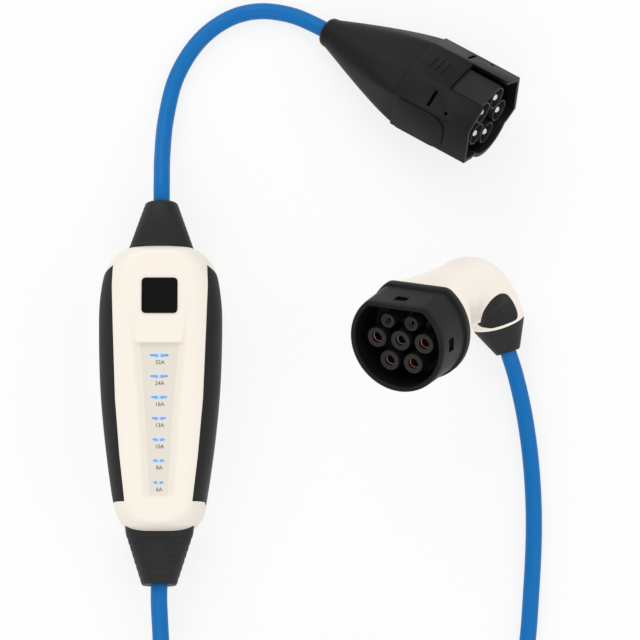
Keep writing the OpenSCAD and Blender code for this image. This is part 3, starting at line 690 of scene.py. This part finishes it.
def dee(inset, z):
    # the nose's outline drawn in by the inset, with points where the pockets' edges come
    r, top, c = nose_r - inset, nose_flat - inset, max(nose_corner - inset, 2.5)
    cx = math.sqrt((r - c) ** 2 - (top - c) ** 2)
    lean = math.atan2(top - c, cx)
    low_side, high_side = -0.143, 0.115
    sweep_round = np.concatenate([np.linspace(lean, high_side, 12)[1:],
                                  np.linspace(high_side, low_side, 4)[1:],
                                  np.linspace(low_side, -math.pi - lean, 90)[1:]])
    right_corner = np.linspace(math.pi / 2, lean, 12)
    left_corner = np.linspace(math.pi - lean, math.pi / 2, 12)[1:-1]
    out = [(x, top) for x in (-cx, -9, -5, 0, 4, 9)]
    out += [(cx + c * math.cos(q), top - c + c * math.sin(q)) for q in right_corner]
    out += [(r * math.cos(q), r * math.sin(q)) for q in sweep_round]
    out += [(-cx + c * math.cos(q), top - c + c * math.sin(q)) for q in left_corner]
    return np.array([(x, y, z) for x, y in out])


shroud_line = [(4.4, -31), (4.4, -2.4), (4.1, -1.2), (3.5, -0.4), (2.7, 0), (2.2, 0), (1.5, -0.25),
               (0.9, -0.9), (0.6, -1.9), (0.5, -4), (0.4, -8), (0.4, -9), (0.3, -15), (0.3, -16),
               (0, -31), (-0.9, -31.5), (-1.5, -32.2), (-1.6, -33), (-1.6, -36.6), (-1.3, -37.6),
               (-0.6, -38), (4, -38)]
shroud = stretched([dee(inset, z) for inset, z in shroud_line], close=True)
top_pocket, side_pocket = [], []
for f in shroud.faces:
    x, y, z = f.calc_center_median() * 1000
    if y > 27 and -5 < x < 4 and -15 < z < -8:
        top_pocket.append(f)
    if x > 34 and -5 < y < 4 and -16 < z < -9:
        side_pocket.append(f)
for faces, inwards in ((top_pocket, Vector((0, -1, 0))), (side_pocket, Vector((-1, 0, 0)))):
    moved = bmesh.ops.extrude_face_region(shroud, geom=faces)["geom"]
    pocket_floor = [v for v in moved if isinstance(v, bmesh.types.BMVert)]
    bmesh.ops.translate(shroud, vec=inwards * pocket_depth * 0.001, verts=pocket_floor)
    bmesh.ops.delete(shroud, geom=faces, context="FACES_ONLY")
shroud.transform(nose)
fit(as_piece("nose_shroud", shroud, black, sharp=50), "black_plastic", "connector_shroud")

# Contacts of the connector: nylon tubes on a carrier at the bottom of the shroud, each with a lip in
# front of its copper sleeve, so that the metal lies deep and no finger reaches it. The two signal
# contacts are smaller, and their copper is painted darker as painted shade for their narrow holes.
fit(softened("nose_carrier", "contact_carrier", 0.3, insert), "black_plastic", "contact_carrier")
copper = finish("contact copper", (0.52, 0.3, 0.21), 0.22, metal=1.0)
# painted shade: the signal sleeves' copper is painted darker for the shade deep in their narrow holes
signal_copper_shaded = finish("signal contact", (0.2, 0.13, 0.1), 0.35, metal=1.0)
power_at = ((-17.5, 0), (0, 0), (17.5, 0), (-8.75, -15.155), (8.75, -15.155))
signal_at = ((-8.75, 12.95), (8.75, 12.95))
power_places = [nose @ Matrix.Translation((x * 0.001, y * 0.001, 0)) for x, y in power_at]
signal_places = [nose @ Matrix.Translation((x * 0.001, y * 0.001, 0)) for x, y in signal_at]
power_tube = [(6.95, -31.2), (6.95, -6), (3.5, -6), (3.5, -9.4), (4.2, -9.4)]
power_tubes = turned("nose_chambers", eased_profile(power_tube, 0.7), power_places, insert)
fit(power_tubes, "black_plastic", "contact_chambers")
signal_tube = [(4.9, -31.2), (4.9, -6), (3.1, -6), (3.1, -6.8), (2.0, -6.8), (2.0, -9.4), (2.8, -9.4)]
fit(turned("nose_pilot_chambers", eased_profile(signal_tube, 0.5), signal_places, insert), "black_plastic")
power_sleeve = [(4.2, -9), (3.2, -9), (3.05, -9.3), (3.05, -30), (0, -30)]
power_sleeves = turned("nose_power_sleeves", eased_profile(power_sleeve, 0.3), power_places, copper)
fit(power_sleeves, "copper", "power_sleeves")
signal_sleeve = [(2.8, -9), (1.7, -9), (1.55, -9.3), (1.55, -30), (0, -30)]
signal_sleeves = turned("nose_signal_sleeves", eased_profile(signal_sleeve, 0.2), signal_places, signal_copper_shaded)
fit(signal_sleeves, "copper", "signal_sleeves")

# Connector handle: a cream elbow moulded in two halves round the cable. It starts with the collar's
# outline, narrows in the throat where the fingers close, and its end laps over the boot in a curve.
nose_back, neck, bend = -38, 64, 26
root_r, mid_r, end_r = 31, 24, 18.5
turn, sweep = math.radians(23.5), math.radians(100)
bend_way = np.array((math.sin(turn), -math.cos(turn), 0))
across_way = np.array((math.cos(turn), math.sin(turn), 0))
nose_axis = np.array((0, 0, 1.0))
handle_run = neck + bend * sweep
collar_side, collar_flat, collar_fade = 33.8, 27.2, 30
throat_depth, throat_way = 6.5, math.radians(312)
lap_least, lap_most, lap_way = 0.4, 5.0, math.radians(306)


def spine(run):
    # point, heading and radius of the handle's middle line at a distance from the back of the nose
    if run < neck:
        neck_r = root_r - (root_r - mid_r) * ease(run / neck) ** 0.9
        return (nose_back - run) * nose_axis, -nose_axis, neck_r
    a = min((run - neck) / bend, sweep)
    mid = bend * (1 - math.cos(a)) * bend_way + (nose_back - neck - bend * math.sin(a)) * nose_axis
    ahead = math.sin(a) * bend_way - math.cos(a) * nose_axis
    past = max(0, run - handle_run)
    radius = mid_r - (mid_r - end_r) * ease(a / sweep) - 0.42 * max(0, past - 1)
    return mid + past * ahead, ahead, radius


def lap(angle):
    # how far the handle's end laps over the boot, most at the front
    return lap_least + (lap_most - lap_least) * max(0, math.cos(angle - lap_way))


def on_handle(run, angle, proud):
    # a point on the handle's skin, from the collar's outline at its root to the round end
    mid, ahead, r = spine(run)
    flat_r = collar_flat / max(math.sin(angle + turn), 0.05)
    collar_r = (collar_side**-12 + flat_r**-12) ** (-1 / 12)
    r += (collar_r - r) * (1 - float(ease(run / collar_fade)))
    throat = ease(run / 34) * (1 - ease((run - 52) / 34))
    r -= throat_depth * throat * max(0, math.cos(angle - throat_way)) ** 2
    around = math.cos(angle) * across_way + math.sin(angle) * np.cross(across_way, ahead)
    return mid + (r + proud) * around


round_handle = np.linspace(0, 2 * math.pi, 80, endpoint=False)
handle_rings = [[on_handle(run, q, 0) for q in round_handle]
                for run in np.concatenate([np.linspace(0, 60, 16), np.linspace(63, handle_run, 44)])]
for lap_share, proud in ((0.3, 0), (0.6, 0), (0.9, 0), (1.0, -0.1), (1.0, -0.9)):
    handle_rings.append([on_handle(handle_run + lap_share * lap(q), q, proud) for q in round_handle])
# painted light: the handle is the same cream as the case, painted lighter because it faces away from the
# lamps
cream_handle_lightened = finish("cream handle, painted lighter", shade("faf2e6"), 0.36, 0.04, 2500.0, shine=0.35)
handle = as_piece("handle_body", stretched(handle_rings, close=True), cream_handle_lightened)
handle.data.transform(nose)
fit(handle, "cream", "connector_handle")

# Handle boot: the same rubber as the boots of the box, a plain cone moulded on the cable
# and held in the end of the handle.
handle_end = Matrix.Translation(Vector(spine(handle_run)[0]) * 0.001)
seat = (nose @ handle_end @ Matrix.Rotation(turn - math.pi / 2, 4, "Z")
        @ Matrix.Rotation(math.pi - sweep, 4, "Y"))
cone = [(0, -3), (18.2, -3), (18.2, 0.9), (18, 1.1), (17.5, 3), (9.25, 20), (8.25, 22), (5.7, 22),
        (5.7, 19)]
fit(turned("handle_boot", eased_profile(cone, 1.2), [seat], boot_mat), "boot_rubber", "connector_boot")

# Finger pad: a broad drop of the grips' soft elastomer, moulded into the throat of the elbow, with a
# thin line of the cream handle left between it and the boot. Its edge is given by the run along the
# handle and the angle round it.
cream_line = 1.7
drop = [(handle_run - 4, 250), (84, 266), (65, 284), (60, 301), (61, 316), (65, 330), (73, 339),
        (83, 345.5), (93, 350), (handle_run - 4, 353)]
drop += [(handle_run + lap(math.radians(q)) - cream_line, q) for q in (348, 334, 320, 303, 287, 270, 256)]
edge_steps = 6
drop = np.array(smooth_line(drop[-2:] + drop + drop[:2], edge_steps))[2 * edge_steps:-3 * edge_steps]
middle = np.array((87, 312))
pad_levels = ((1.0, -1.8), (1.0, 0.25), (0.985, 0.5), (0.95, 0.7), (0.88, 0.8), (0.75, 0.85),
              (0.6, 0.9), (0.45, 0.9), (0.3, 0.9), (0.15, 0.9), (0.02, 0.9))
pad_rings = []
for size, proud in pad_levels:
    ring_line = middle + (drop - middle) * size
    ring = np.array([on_handle(run, math.radians(q), proud) for run, q in ring_line])
    for _ in range(14):
        ring = 0.5 * ring + 0.25 * (np.roll(ring, 1, axis=0) + np.roll(ring, -1, axis=0))
    pad_rings.append(ring)
pad = stretched(pad_rings, close=True, cap=True)
pad.normal_update()
edge_places = np.concatenate(pad_rings[:3]) * 0.001
inner = [v for v in pad.verts if np.abs(edge_places - np.array(v.co)).max(axis=1).min() > 1e-6]
heart = Vector(spine(middle[0])[0]) * 0.001
before = [(v.co.copy(), v.normal * math.copysign(1, v.normal.dot(v.co - heart))) for v in inner]


def settle(times):
    for _ in range(times):
        bmesh.ops.smooth_vert(pad, verts=inner, factor=0.5, use_axis_x=True, use_axis_y=True,
                              use_axis_z=True)


# the pad fills the fold of the elbow and nowhere sinks into the handle
settle(40)
for v, (place, out_of_handle) in zip(inner, before):
    v.co = place + out_of_handle * max(0, (v.co - place).dot(out_of_handle))
settle(3)
pad.transform(nose)
fit(as_piece("finger_pad", pad, grip_mat), "soft_grip", "handle_pad")

# Coil tie: a black hook-and-loop strap, woven and cut to length,
# closed round the bundle of the vehicle cable.
tie_mat = finish("strap", shade("1c1c1c"), 0.8, 0.5, 2600.0)
fit(softened("strap", "coil_tie", 0.4, tie_mat), "tie", "coil_tie")
